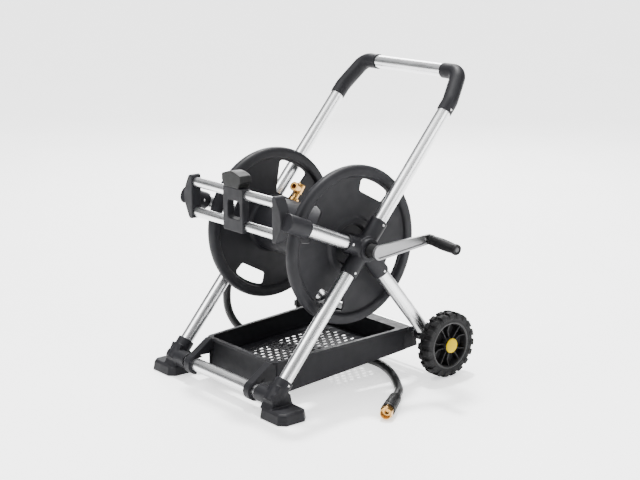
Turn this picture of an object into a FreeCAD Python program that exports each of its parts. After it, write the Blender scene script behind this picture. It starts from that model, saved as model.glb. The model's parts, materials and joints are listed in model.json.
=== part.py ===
"""Garden hose reel cart: an aluminium tube frame on two wheels and two feet.

A cranked hose reel turns on an axle between the two side frames, a hose guide slides on two
rails in front of it, a tray hangs between the cross tubes, and a short leader hose brings water in.
Frame: +X towards the crank side, +Y towards the wheels, +Z up. The floor is z = 0.
"""

import FreeCAD
import Part
import Sketcher
import math
import os

Vector = FreeCAD.Vector
DOC = FreeCAD.newDocument("HoseReelCart")
SHEET = DOC.addObject("Spreadsheet::Sheet", "dims")

# Driving dimensions, in millimetres and degrees.
SIZES = {
    "tube_dia": 38.0,
    "tube_wall": 1.6,
    "side_x": 229.0,
    "hub_height": 409.0,
    "leg_angle": 49.5,
    "rear_angle": 50.0,
    "arm_angle": 22.6,
    "tube_start": 45.0,
    "handle_tube_end": 480.0,
    "front_leg_end": 450.0,
    "rear_leg_end": 370.0,
    "guide_arm_end": 255.0,
    "socket_wall": 5.5,
    "socket_handle": 89.0,
    "socket_front": 85.0,
    "socket_rear": 100.0,
    "socket_arm": 70.0,
    "hub_barrel_dia": 72.0,
    "hub_inner_x": 207.0,
    "hub_outer_x": 250.0,
    "hub_ring_dia": 62.0,
    "hub_ring_x": 259.0,
    "axle_dia": 30.0,
    "bush_clear": 0.05,
    "bush_wall": 4.95,
    "bush_flange_dia": 52.0,
    "bush_flange": 3.0,
    "elbow_start": 453.5,
    "elbow_kink": 488.0,
    "elbow_corner_x": 200.0,
    "crossbar_along": 585.0,
    "elbow_end_x": 138.0,
    "crossbar_half": 164.0,
    "elbow_wall": 3.2,
    "cross_tube_along": 473.5,
    "foot_in_x": 200.0,
    "foot_out_x": 311.0,
    "foot_front_y": -347.5,
    "foot_back_y": -251.0,
    "foot_block": 30.0,
    "foot_taper": 9.0,
    "foot_chamfer": 18.0,
    "foot_socket_start": 418.0,
    "foot_boss_x": 166.0,
    "foot_boss_dia": 46.0,
    "rear_cross_along": 387.0,
    "rear_tube_dia": 28.0,
    "axle_bracket_start": 355.0,
    "wheel_y": 273.4,
    "wheel_dia": 190.0,
    "wheel_in_x": 258.0,
    "wheel_out_x": 302.0,
    "wheel_axle_dia": 12.0,
    "rim_dia": 138.0,
    "cap_dia": 42.0,
    "guide_y": -257.0,
    "guide_z": 518.0,
    "guide_dia": 28.0,
    "guide_gap": 85.0,
    "guide_half": 182.0,
    "guide_buried": 14.0,
    "guide_bracket_front": 19.0,
    "guide_bracket_back": 13.0,
    "guide_socket_start": 213.0,
    "carriage_x": 12.0,
    "carriage_wide": 88.0,
    "carriage_front": 20.0,
    "carriage_plate": 22.0,
    "sleeve_wall": 3.5,
    "window_wide": 54.0,
    "window_tall": 50.0,
    "window_shift": 4.0,
    "slide_clear": 0.06,
    "knob_wide": 84.0,
    "knob_deep": 38.0,
    "flange_x": 178.4,
    "flange_dia": 444.0,
    "rim_thick": 30.0,
    "rim_tall": 28.0,
    "slot_in": 143.0,
    "slot_out": 184.0,
    "slot_half_angle": 18.0,
    "slot_first": 62.0,
    "drum_dia": 156.0,
    "drum_wall": 4.0,
    "crank_boss_dia": 38.0,
    "crank_arm_x": 290.0,
    "crank_arm_thick": 9.0,
    "crank_radius": 182.0,
    "crank_angle": 3.4,
    "crank_wide_hub": 40.0,
    "crank_wide_tip": 28.0,
    "grip_dia": 32.0,
    "grip_long": 104.0,
    "grip_tilt": 5.3,
    "spindle_dia": 9.0,
    "outlet_x": -135.0,
    "outlet_angle": 54.0,
    "outlet_radius": 119.0,
    "axle_left": 256.0,
    "inlet_x": 277.0,
    "tray_front_y": -245.0,
    "tray_rear_y": 217.0,
    "tray_back_y": 185.0,
    "tray_front_half": 152.0,
    "tray_rear_half": 179.0,
    "tray_depth": 60.0,
    "tray_wall": 3.5,
    "tray_lip": 8.0,
    "hose_dia": 24.0,
}

for row, (alias, value) in enumerate(SIZES.items(), start=1):
    SHEET.set(f"A{row}", alias)
    SHEET.set(f"B{row}", str(value))
    SHEET.setAlias(f"B{row}", alias)
DOC.recompute()


class Size:
    """A number together with the spreadsheet expression that gives it."""

    def __init__(self, value, text):
        self.value = float(value)
        self.text = text

    def __float__(self):
        return self.value

    def _join(self, other, sign, value, swap=False):
        text = other.text if isinstance(other, Size) else f"({float(other)})"
        left, right = (text, self.text) if swap else (self.text, text)
        return Size(value, f"({left} {sign} {right})")

    def __add__(self, other):
        return self._join(other, "+", self.value + float(other))

    def __radd__(self, other):
        return self._join(other, "+", float(other) + self.value, swap=True)

    def __sub__(self, other):
        return self._join(other, "-", self.value - float(other))

    def __rsub__(self, other):
        return self._join(other, "-", float(other) - self.value, swap=True)

    def __mul__(self, other):
        return self._join(other, "*", self.value * float(other))

    __rmul__ = __mul__

    def __truediv__(self, other):
        return self._join(other, "/", self.value / float(other))

    def __neg__(self):
        return Size(-self.value, f"(0 - {self.text})")


class Dims:
    """Driving dimensions read from the sheet by alias, such as D.tube_dia."""

    def __getattr__(self, alias):
        return Size(SHEET.get(alias), f"dims.{alias}")


D = Dims()
PIECES = {}


def bind(thing, prop, size):
    """Set a property, and tie it to the sheet when its size comes from there."""
    setattr(thing, prop, float(size))
    if isinstance(size, Size):
        thing.setExpression(prop, size.text)


def vec(point):
    return Vector(*[float(v) for v in point])


def pose(at=(0, 0, 0), toward=(0, 0, 1)):
    """A placement at a point, with local Z turned towards a direction."""
    return FreeCAD.Placement(vec(at), FreeCAD.Rotation(Vector(0, 0, 1), vec(toward)))


def keep(node, thing):
    """Name a finished sub-part; the name is also its file's."""
    thing.Label = node
    PIECES[node] = thing
    return thing


# ---- Part primitives and booleans ----


def cylinder(radius, length, at=(0, 0, 0), toward=(0, 0, 1)):
    thing = DOC.addObject("Part::Cylinder", "Cylinder")
    bind(thing, "Radius", radius)
    bind(thing, "Height", length)
    thing.Placement = pose(at, toward)
    return thing


def cone(radius, end_radius, length, at=(0, 0, 0), toward=(0, 0, 1)):
    thing = DOC.addObject("Part::Cone", "Cone")
    bind(thing, "Radius1", radius)
    bind(thing, "Radius2", end_radius)
    bind(thing, "Height", length)
    thing.Placement = pose(at, toward)
    return thing


def box(low, wide, deep, tall):
    thing = DOC.addObject("Part::Box", "Box")
    bind(thing, "Length", wide)
    bind(thing, "Width", deep)
    bind(thing, "Height", tall)
    thing.Placement = pose(low)
    return thing


def fuse(*things):
    if len(things) == 1:
        return things[0]
    thing = DOC.addObject("Part::MultiFuse", "Fusion")
    thing.Shapes = list(things)
    thing.Refine = True
    return thing


def cut(base, *tools):
    thing = DOC.addObject("Part::Cut", "Cut")
    thing.Base = base
    thing.Tool = fuse(*tools)
    thing.Refine = True
    return thing


def group(*things):
    """Separate solids that share one node."""
    thing = DOC.addObject("Part::Compound", "Group")
    thing.Links = list(things)
    return thing


def pipe(outer, inner, length, at, toward):
    """A straight tube."""
    return cut(cylinder(outer, length, at, toward), cylinder(inner, length, at, toward))


# ---- PartDesign bodies and sketches ----


def new_body(name):
    return DOC.addObject("PartDesign::Body", name)


def new_sketch(body, role, offset=0.0):
    """A sketch on one of the body's own origin planes, moved along its normal."""
    plane = next(item for item in body.Origin.OriginFeatures if item.Role == role)
    sketch = body.newObject("Sketcher::SketchObject", "Sketch")
    sketch.AttachmentSupport = [(plane, "")]
    sketch.MapMode = "FlatFace"
    if isinstance(offset, Size) or offset:
        sketch.AttachmentOffset = FreeCAD.Placement(Vector(0, 0, float(offset)), FreeCAD.Rotation())
    return sketch


def draw_polygon(sketch, points):
    """A closed outline whose corners are held at sheet sizes."""
    flat = [Vector(float(x), float(y), 0) for x, y in points]
    count = len(flat)
    first = sketch.GeometryCount
    for i in range(count):
        sketch.addGeometry(Part.LineSegment(flat[i], flat[(i + 1) % count]), False)
    for i in range(count):
        following = first + (i + 1) % count
        sketch.addConstraint(Sketcher.Constraint("Coincident", first + i, 2, following, 1))
    for i, point in enumerate(points):
        for kind, size in zip(("DistanceX", "DistanceY"), point):
            value = float(size)
            index = sketch.addConstraint(Sketcher.Constraint(kind, -1, 1, first + i, 1, value))
            if isinstance(size, Size):
                sketch.setExpression(f"Constraints[{index}]", size.text)


def rounded_edges(points):
    """Lines and tangent arcs through corners given as (x, y, corner radius)."""
    count = len(points)
    ends = []
    for i in range(count):
        here = Vector(float(points[i][0]), float(points[i][1]), 0)
        back = Vector(float(points[i - 1][0]), float(points[i - 1][1]), 0)
        following = points[(i + 1) % count]
        ahead = Vector(float(following[0]), float(following[1]), 0)
        radius = float(points[i][2])
        to_back = (back - here).normalize()
        to_ahead = (ahead - here).normalize()
        half = to_back.getAngle(to_ahead) / 2
        if radius <= 0:
            ends.append((here, None, here))
            continue
        reach = radius / math.tan(half)
        middle = (to_back + to_ahead).normalize() * (radius / math.sin(half) - radius)
        ends.append((here + to_back * reach, here + middle, here + to_ahead * reach))
    edges = []
    for i in range(count):
        start, top, end = ends[i]
        if top is not None:
            edges.append(Part.Arc(start, top, end))
        edges.append(Part.LineSegment(end, ends[(i + 1) % count][0]))
    return edges


def draw_rounded(sketch, points):
    """A closed outline with rounded corners."""
    first = sketch.GeometryCount
    edges = rounded_edges(points)
    sketch.addGeometry(edges, False)
    return first


def draw_window(sketch, inner, outer, middle, half_angle, corner):
    """A window with a straight inner edge, radial sides and an outer edge that follows the rim."""
    inner, outer = float(inner), float(outer)
    half = math.radians(float(half_angle))
    turn = math.radians(float(middle))
    crown = outer / math.cos(half / 3)
    spots = [(inner / math.cos(half), -half, corner), (outer, -half, corner)]
    spots += [(crown, -half * 2 / 3, outer / 2), (crown, 0, outer), (crown, half * 2 / 3, outer / 2)]
    spots += [(outer, half, corner), (inner / math.cos(half), half, corner)]
    draw_rounded(sketch, [(r * math.cos(turn + a), r * math.sin(turn + a), c) for r, a, c in spots])


def pad(body, sketch, length, midplane=False, flip=False):
    feature = body.newObject("PartDesign::Pad", "Pad")
    feature.Profile = sketch
    bind(feature, "Length", length)
    feature.Midplane = midplane
    feature.Reversed = flip
    return feature


def pocket(body, sketch, length, midplane=True, flip=False):
    """A cut; its volume is compared so that one that misses the solid is caught."""
    DOC.recompute()
    before = body.Shape.Volume
    feature = body.newObject("PartDesign::Pocket", "Pocket")
    feature.Profile = sketch
    bind(feature, "Length", length)
    feature.Midplane = midplane
    feature.Reversed = flip
    DOC.recompute()
    if body.Shape.Volume >= before - 1.0:
        raise RuntimeError(f"a pocket in {body.Name} cuts nothing")
    return feature


def revolve(body, sketch, axis="H_Axis"):
    feature = body.newObject("PartDesign::Revolution", "Revolution")
    feature.Profile = sketch
    feature.ReferenceAxis = (sketch, [axis])
    feature.Angle = 360.0
    return feature


# ---- Directions and places of the side frames ----


def in_side_plane(degrees):
    """A direction in the plane of a side frame, measured from +Y towards +Z."""
    angle = math.radians(degrees)
    return Vector(0, math.cos(angle), math.sin(angle))


UP_HANDLE = in_side_plane(float(D.leg_angle))
DOWN_FRONT = UP_HANDLE * -1
DOWN_REAR = in_side_plane(-float(D.rear_angle))
UP_ARM = in_side_plane(180.0 - float(D.arm_angle))
SIDES = (("right", 1), ("left", -1))
ALONG_X = Vector(1, 0, 0)
TUBE_RADIUS = D.tube_dia / 2
SOCKET_RADIUS = D.tube_dia / 2 + D.socket_wall
WHEEL_RADIUS = D.wheel_dia / 2
SCREW_HEAD = 3.6
RIBS = 10


def hub_point(side):
    return Vector(side * float(D.side_x), 0, float(D.hub_height))


def on_axis(side, direction, distance):
    return hub_point(side) + direction * float(distance)


def at_x(x, y, z):
    return Vector(float(x), float(y), float(z))


FRONT_TUBE_AT = on_axis(1, DOWN_FRONT, D.cross_tube_along)
REAR_TUBE_AT = on_axis(1, DOWN_REAR, D.rear_cross_along)


def side_tubes():
    """The four straight tubes of each side frame."""
    runs = (
        ("handle_tube", UP_HANDLE, D.handle_tube_end),
        ("front_leg", DOWN_FRONT, D.front_leg_end),
        ("rear_leg", DOWN_REAR, D.rear_leg_end),
        ("guide_arm", UP_ARM, D.guide_arm_end),
    )
    for name, side in SIDES:
        for piece, direction, end in runs:
            start = on_axis(side, direction, D.tube_start)
            bore = TUBE_RADIUS - D.tube_wall
            keep(f"{piece}_{name}", pipe(TUBE_RADIUS, bore, end - D.tube_start, start, direction))


def hub_brackets():
    """Moulded four-way brackets that hold the tubes and carry the reel axle's bushes."""
    bush_radius = D.axle_dia / 2 + D.bush_clear + D.bush_wall
    for name, side in SIDES:
        out = ALONG_X * side
        inner = at_x(D.hub_inner_x * side, 0, D.hub_height)
        sockets = []
        bores = []
        for direction, reach in (
            (UP_HANDLE, D.socket_handle),
            (DOWN_FRONT, D.socket_front),
            (DOWN_REAR, D.socket_rear),
            (UP_ARM, D.socket_arm),
        ):
            sockets.append(cylinder(SOCKET_RADIUS, reach, hub_point(side), direction))
            start = on_axis(side, direction, D.tube_start)
            bores.append(cylinder(TUBE_RADIUS, reach, start, direction))
        barrel = cylinder(D.hub_barrel_dia / 2, D.hub_outer_x - D.hub_inner_x, inner, out)
        ring = cylinder(D.hub_ring_dia / 2, D.hub_ring_x - D.hub_inner_x, inner, out)
        bore = cylinder(bush_radius, D.hub_ring_x - D.hub_inner_x + 10, inner - out * 10, out)
        recess = cylinder(D.bush_flange_dia / 2 + 0.2, 10.0, inner - out * 10, out)
        keep(f"hub_bracket_{name}", cut(fuse(barrel, ring, *sockets), bore, recess, *bores))

        start = at_x((D.hub_inner_x - D.bush_flange) * side, 0, D.hub_height)
        sleeve = cylinder(bush_radius, D.hub_outer_x - D.hub_inner_x + D.bush_flange, start, out)
        collar = cylinder(D.bush_flange_dia / 2, D.bush_flange, start, out)
        running = cylinder(D.axle_dia / 2 + D.bush_clear, D.hub_ring_x, start, out)
        keep(f"axle_bush_{name}", cut(fuse(sleeve, collar), running))


def handle():
    """Crossbar and the two bent elbows that join it to the handle tubes."""
    outer = TUBE_RADIUS + D.elbow_wall
    for name, side in SIDES:
        kink = on_axis(side, UP_HANDLE, D.elbow_kink)
        along = UP_HANDLE * float(D.crossbar_along)
        corner = at_x(D.elbow_corner_x * side, along.y, D.hub_height + along.z)
        end = at_x(D.elbow_end_x * side, corner.y, corner.z)
        start = on_axis(side, UP_HANDLE, D.elbow_start)
        path = rounded_path([start, kink, corner, end], [0, 60.0, 34.0, 0])
        skin = swept(path, outer, start, UP_HANDLE)
        tube_bore = cylinder(TUBE_RADIUS, D.handle_tube_end - D.elbow_start, start, UP_HANDLE)
        bar_bore = cylinder(TUBE_RADIUS, D.crossbar_half - D.elbow_end_x, end, ALONG_X * side)
        keep(f"handle_elbow_{name}", cut(skin, tube_bore, bar_bore))
    start = at_x(-D.crossbar_half, corner.y, corner.z)
    bore = TUBE_RADIUS - D.tube_wall
    keep("handle_crossbar", pipe(TUBE_RADIUS, bore, D.crossbar_half * 2, start, ALONG_X))


def rounded_path(points, radii):
    """A wire of straight runs joined by tangent arcs, one radius for each point."""
    edges = []
    last = points[0]
    for i in range(1, len(points) - 1):
        here = points[i]
        to_back = (points[i - 1] - here).normalize()
        to_ahead = (points[i + 1] - here).normalize()
        half = to_back.getAngle(to_ahead) / 2
        reach = radii[i] / math.tan(half)
        middle = here + (to_back + to_ahead).normalize() * (radii[i] / math.sin(half) - radii[i])
        start = here + to_back * reach
        edges.append(Part.LineSegment(last, start).toShape())
        last = here + to_ahead * reach
        edges.append(Part.Arc(start, middle, last).toShape())
    edges.append(Part.LineSegment(last, points[-1]).toShape())
    return Part.Wire(edges)


def swept(path, radius, start, direction):
    """A round bar along a wire, as a feature that holds the computed shape."""
    ring = Part.Wire([Part.Circle(start, direction, float(radius)).toShape()])
    thing = DOC.addObject("Part::Feature", "Swept")
    thing.Shape = path.makePipeShell([ring], True, False)
    return thing


def feet():
    """Moulded feet: an inclined socket for the leg, a boss for the cross tube, a low block."""
    for name, side in SIDES:
        low_x, high_x = sorted((float(D.foot_in_x) * side, float(D.foot_out_x) * side))
        front, back = float(D.foot_front_y), float(D.foot_back_y)
        trim = float(D.foot_chamfer)
        body = new_body("FootBlock")
        sketch = new_sketch(body, "XY_Plane")
        draw_polygon(
            sketch,
            [
                (low_x + trim, front),
                (high_x - trim, front),
                (high_x, front + trim),
                (high_x, back - trim),
                (high_x - trim, back),
                (low_x + trim, back),
                (low_x, back - trim),
                (low_x, front + trim),
            ],
        )
        block = pad(body, sketch, D.foot_block)
        block.TaperAngle = -float(D.foot_taper)
        DOC.recompute()
        top = float(D.foot_block)
        chamfer = body.newObject("PartDesign::Chamfer", "Chamfer")
        flat = [f"Edge{i + 1}" for i, e in enumerate(block.Shape.Edges) if e.BoundBox.ZMin > top - 1]
        chamfer.Base = (block, flat)
        chamfer.Size = 5.0

        web = new_body("FootWeb")
        profile = new_sketch(web, "YZ_Plane", side * float(D.side_x))
        neck = on_axis(1, DOWN_FRONT, D.foot_socket_start + 24)
        across = Vector(0, UP_HANDLE.z, -UP_HANDLE.y) * float(SOCKET_RADIUS)
        draw_polygon(
            profile,
            [
                (front + 8, top - 6),
                (back - 8, top - 6),
                (back - 14, top + 8),
                (neck.y + across.y, neck.z + across.z),
                (neck.y - across.y, neck.z - across.z),
            ],
        )
        pad(web, profile, SOCKET_RADIUS * 2 - 4, midplane=True)

        socket_at = on_axis(side, DOWN_FRONT, D.foot_socket_start)
        socket = cylinder(SOCKET_RADIUS, 70.0, socket_at, DOWN_FRONT)
        boss_at = at_x(D.foot_boss_x * side, FRONT_TUBE_AT.y, FRONT_TUBE_AT.z)
        boss = cylinder(D.foot_boss_dia / 2, D.side_x - D.foot_boss_x + 22, boss_at, ALONG_X * side)
        leg_bore = cylinder(TUBE_RADIUS, D.front_leg_end - D.foot_socket_start, socket_at, DOWN_FRONT)
        tube_bore = cylinder(TUBE_RADIUS, D.side_x - D.foot_boss_x - 4, boss_at, ALONG_X * side)
        keep(f"foot_{name}", cut(fuse(body, web, socket, boss), leg_bore, tube_bore))


def cross_tubes():
    bore = TUBE_RADIUS - D.tube_wall
    half = D.side_x - 4
    start = at_x(-half, FRONT_TUBE_AT.y, FRONT_TUBE_AT.z)
    keep("front_cross_tube", pipe(TUBE_RADIUS, bore, half * 2, start, ALONG_X))
    thin = D.rear_tube_dia / 2
    start = at_x(-half, REAR_TUBE_AT.y, REAR_TUBE_AT.z)
    keep("rear_cross_tube", pipe(thin, thin - D.tube_wall, half * 2, start, ALONG_X))


def axle_brackets():
    """Moulded brackets at the rear legs' ends: leg socket, cross tube boss and wheel axle barrel."""
    for name, side in SIDES:
        out = ALONG_X * side
        socket_at = on_axis(side, DOWN_REAR, D.axle_bracket_start)
        socket = cylinder(SOCKET_RADIUS, 50.0, socket_at, DOWN_REAR)
        boss_at = at_x((D.side_x - 38) * side, REAR_TUBE_AT.y, REAR_TUBE_AT.z)
        boss = cylinder(D.rear_tube_dia / 2 + 5, 58.0, boss_at, out)
        barrel_at = at_x((D.side_x - 25) * side, D.wheel_y, WHEEL_RADIUS)
        barrel = cylinder(22.0, 50.0, barrel_at, out)
        leg_bore = cylinder(TUBE_RADIUS, D.rear_leg_end - D.axle_bracket_start, socket_at, DOWN_REAR)
        tube_bore = cylinder(D.rear_tube_dia / 2, 34.0, boss_at, out)
        axle_bore = cylinder(D.wheel_axle_dia / 2, 50.0, barrel_at, out)
        keep(f"axle_bracket_{name}", cut(fuse(socket, boss, barrel), leg_bore, tube_bore, axle_bore))

        gap_at = at_x((D.side_x + 25) * side, D.wheel_y, WHEEL_RADIUS)
        gap = D.wheel_in_x - D.side_x - 25.5
        keep(f"wheel_washer_{name}", pipe(12.0, D.wheel_axle_dia / 2, gap, gap_at, out))


def wheel_axle():
    """A plain steel rod right across the cart, with a retaining ring inside each hub cap."""
    half = D.wheel_out_x - 5
    start = at_x(-half, D.wheel_y, WHEEL_RADIUS)
    keep("wheel_axle", cylinder(D.wheel_axle_dia / 2, half * 2, start, ALONG_X))


def wheels():
    """Moulded ten-rib rims with rubber tyres and round hub caps."""
    mid = (D.wheel_in_x + D.wheel_out_x) / 2
    half = (D.wheel_out_x - D.wheel_in_x) / 2
    for name, side in SIDES:
        centre = FreeCAD.Placement(
            at_x(mid * side, D.wheel_y, WHEEL_RADIUS),
            FreeCAD.Rotation(Vector(0, 0, 1), 0 if side > 0 else 180),
        )
        tyre = new_body("Tyre")
        sketch = new_sketch(tyre, "XY_Plane")
        bead = D.rim_dia / 2
        draw_polygon(
            sketch,
            [
                (-half + 4, bead),
                (half - 4, bead),
                (half, bead + 8),
                (half - 1, WHEEL_RADIUS - 4),
                (half - 6, WHEEL_RADIUS),
                (-half + 6, WHEEL_RADIUS),
                (-half + 1, WHEEL_RADIUS - 4),
                (-half, bead + 8),
            ],
        )
        revolve(tyre, sketch)
        tyre.Placement = centre
        keep(f"tyre_{name}", tyre)

        rim = new_body("Rim")
        sketch = new_sketch(rim, "XY_Plane")
        bore = D.wheel_axle_dia / 2 + D.bush_clear
        draw_polygon(
            sketch,
            [
                (-half, bore),
                (half - 6, bore),
                (half - 6, 14.0),
                (half - 1, 14.0),
                (half - 1, 21.5),
                (half - 9, 22.5),
                (half - 9, bead - 10),
                (half - 4, bead - 6),
                (half - 4, bead),
                (-half + 4, bead),
                (-half + 4, bead - 6),
                (-half + 12, bead - 10),
                (-half + 12, 22.5),
                (-half, 20.0),
            ],
        )
        revolve(rim, sketch)
        windows = new_sketch(rim, "YZ_Plane")
        for k in range(RIBS):
            draw_window(windows, 24.0, bead - 12, (k + 0.5) * 360.0 / RIBS, 180.0 / RIBS - 2.6, 1.5)
        pocket(rim, windows, half * 2 + 4)
        rim.Placement = centre
        keep(f"wheel_rim_{name}", rim)

        cap_at = at_x((D.wheel_out_x - 1) * side, D.wheel_y, WHEEL_RADIUS)
        dome = cylinder(D.cap_dia / 2, 3.0, cap_at, ALONG_X * side)
        skirt_at = at_x((D.wheel_out_x - 4) * side, D.wheel_y, WHEEL_RADIUS)
        skirt = cylinder(13.8, 4.0, skirt_at, ALONG_X * side)
        crown_at = at_x((D.wheel_out_x + 2) * side, D.wheel_y, WHEEL_RADIUS)
        crown = cone(D.cap_dia / 2, D.cap_dia / 2 - 5, 3.0, crown_at, ALONG_X * side)
        keep(f"hub_cap_{name}", fuse(dome, skirt, crown))


def guide_rails():
    """Two thin rails and the brackets that carry them on the ends of the guide arms."""
    radius = D.guide_dia / 2
    for name, lift in (("upper", D.guide_gap / 2), ("lower", -D.guide_gap / 2)):
        start = at_x(-D.guide_half - D.guide_buried, D.guide_y, D.guide_z + lift)
        long = (D.guide_half + D.guide_buried) * 2
        keep(f"guide_rail_{name}", pipe(radius, radius - D.tube_wall, long, start, ALONG_X))
    tall = D.guide_gap / 2 + radius + 4
    for name, side in SIDES:
        body = new_body("GuideBracket")
        sketch = new_sketch(body, "XZ_Plane")
        x = D.guide_half * side
        outline = [
            (0, -tall, 6),
            (16, -tall, 11),
            (36, -20, 20),
            (39, 0, 20),
            (34, 29, 20),
            (15, tall + 4, 10),
            (0, tall + 4, 6),
        ]
        draw_rounded(sketch, [(x + across * side, D.guide_z + up, r) for across, up, r in outline])
        depth = D.guide_bracket_front + D.guide_bracket_back
        pad(body, sketch, depth, midplane=True)
        middle = D.guide_y + (D.guide_bracket_back - D.guide_bracket_front) / 2
        body.Placement = FreeCAD.Placement(at_x(0, middle, 0), FreeCAD.Rotation())
        socket_at = on_axis(side, UP_ARM, D.guide_socket_start)
        socket = cylinder(SOCKET_RADIUS, 74.0, socket_at, UP_ARM)
        bores = [cylinder(TUBE_RADIUS, D.guide_arm_end - D.guide_socket_start, socket_at, UP_ARM)]
        for lift in (D.guide_gap / 2, -D.guide_gap / 2):
            bore_at = at_x(x, D.guide_y, D.guide_z + lift)
            bores.append(cylinder(radius, D.guide_buried, bore_at, ALONG_X * side))
        keep(f"guide_bracket_{name}", cut(fuse(body, socket), *bores))


def guide_carriage():
    """The sliding hose guide: a window for the hose between two sleeves, and a knob on top."""
    wide, front = D.carriage_wide / 2, D.carriage_front
    sleeve_radius = D.guide_dia / 2 + D.sleeve_wall
    tall = D.guide_gap / 2 + sleeve_radius
    plate = new_body("CarriagePlate")
    outline = new_sketch(plate, "XZ_Plane", front)
    draw_rounded(outline, [(-wide, -tall, 4), (wide, -tall, 4), (wide, tall, 4), (-wide, tall, 4)])
    pad(plate, outline, D.carriage_plate, flip=True)
    window = new_sketch(plate, "XZ_Plane")
    half_wide, half_tall = D.window_wide / 2, D.window_tall / 2
    corners = [(-1, -1), (1, -1), (1, 1), (-1, 1)]
    draw_rounded(window, [(D.window_shift + half_wide * i, half_tall * j, 9.0) for i, j in corners])
    pocket(plate, window, front * 2 + 10)
    plate.Placement = FreeCAD.Placement(at_x(D.carriage_x, D.guide_y, D.guide_z), FreeCAD.Rotation())
    sleeves, bores = [], []
    for lift in (D.guide_gap / 2, -D.guide_gap / 2):
        start = at_x(D.carriage_x - wide, D.guide_y, D.guide_z + lift)
        sleeves.append(cylinder(sleeve_radius, D.carriage_wide, start, ALONG_X))
        bores.append(cylinder(D.guide_dia / 2 + D.slide_clear, D.carriage_wide, start, ALONG_X))
    keep("guide_carriage", cut(fuse(plate, *sleeves), *bores))

    knob = new_body("Knob")
    outline = new_sketch(knob, "XZ_Plane")
    half = D.knob_wide / 2
    foot = float(tall)
    sides = [
        (-half + 10, foot, 0),
        (half - 10, foot, 0),
        (half - 7, foot + 10, 3),
        (half, foot + 16, 4),
        (half, foot + 34, 6),
        (0, foot + 47, 70),
        (-half, foot + 34, 6),
        (-half, foot + 16, 4),
        (-half + 7, foot + 10, 3),
    ]
    draw_rounded(outline, sides)
    pad(knob, outline, D.knob_deep, midplane=True)
    knob.Placement = FreeCAD.Placement(
        at_x(D.carriage_x - 6, D.guide_y - 2, D.guide_z), FreeCAD.Rotation()
    )
    keep("guide_knob", knob)


def reel_flanges():
    """Dished flanges with a rounded rim; the left one's window near the outlet reaches the drum."""
    half, rim = D.rim_thick / 2, D.flange_dia / 2
    rim_in = rim - D.rim_tall
    bore = D.axle_dia / 2
    drum = D.drum_dia / 2
    for name, side in SIDES:
        body = new_body("Flange")
        sketch = new_sketch(body, "XY_Plane")
        draw_rounded(
            sketch,
            [
                (22, bore, 0),
                (22, 27, 3),
                (-8, 29, 4),
                (-8, 56, 4),
                (7, 60, 3),
                (7, 76, 4),
                (1, 84, 6),
                (4, rim_in - 4, 3),
                (half, rim_in, 8),
                (half, rim, 13),
                (-half, rim, 13),
                (-half, rim_in, 8),
                (-2, rim_in - 4, 3),
                (-5, 84, 6),
                (-14, drum, 0),
                (-14, bore, 0),
            ],
        )
        revolve(body, sketch)
        slots = new_sketch(body, "YZ_Plane")
        for k in range(4):
            angle = float(D.slot_first) + 90.0 * k
            inner = D.drum_dia / 2 + 8 if side < 0 and k == 0 else D.slot_in
            turned = angle if side > 0 else 180.0 - angle
            draw_window(slots, inner, D.slot_out, turned, D.slot_half_angle, 9.0)
        pocket(body, slots, D.rim_thick + 20)
        body.Placement = FreeCAD.Placement(
            at_x(D.flange_x * side, 0, D.hub_height),
            FreeCAD.Rotation(Vector(0, 0, 1), 0 if side > 0 else 180),
        )
        keep(f"reel_flange_{name}", body)


def reel_core():
    """Drum, hollow axle, and the brass pipe that carries water from the axle to the outlet."""
    flat = D.flange_x - 14
    start = at_x(-flat, 0, D.hub_height)
    drum = pipe(D.drum_dia / 2, D.drum_dia / 2 - D.drum_wall, flat * 2, start, ALONG_X)
    radial = in_side_plane(float(D.outlet_angle))
    stem_at = at_x(D.outlet_x, 0, D.hub_height)
    hole = cylinder(11.0, D.drum_dia, stem_at, radial)
    keep("reel_drum", cut(drum, hole))

    axle_in = float(D.axle_dia) / 2
    left = at_x(-D.axle_left, 0, D.hub_height)
    rod = cylinder(D.axle_dia / 2, D.axle_left + D.crank_arm_x - 4, left, ALONG_X)
    water = cylinder(9.0, D.axle_left + D.outlet_x + 12, left, ALONG_X)
    tap = cylinder(8.0, D.axle_dia, stem_at, radial)
    keep("reel_axle", cut(rod, water, tap))

    stem_start = stem_at + radial * (axle_in - 4)
    stem_long = D.outlet_radius - axle_in + 4
    elbow_at = stem_at + radial * float(D.outlet_radius)
    stem = cylinder(8.0, stem_long, stem_start, radial)
    barrel = cylinder(9.5, 40.0, elbow_at - radial * 40, radial)
    block = cylinder(13.0, 28.0, elbow_at - radial * 14, radial)
    nut = cylinder(15.5, 9.0, elbow_at - radial * 40.5, radial)
    aim = Vector(0.3, -0.85, 0.43).normalize()
    neck = cylinder(11.5, 17.0, elbow_at, aim)
    mouth = cylinder(13.3, 15.0, elbow_at + aim * 16, aim)
    mouth_bore = cylinder(7.0, 32.0, elbow_at, aim)
    stem_bore = cylinder(6.0, stem_long, stem_start, radial)
    keep("outlet_elbow", cut(fuse(stem, barrel, block, neck, mouth, nut), mouth_bore, stem_bore))


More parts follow.
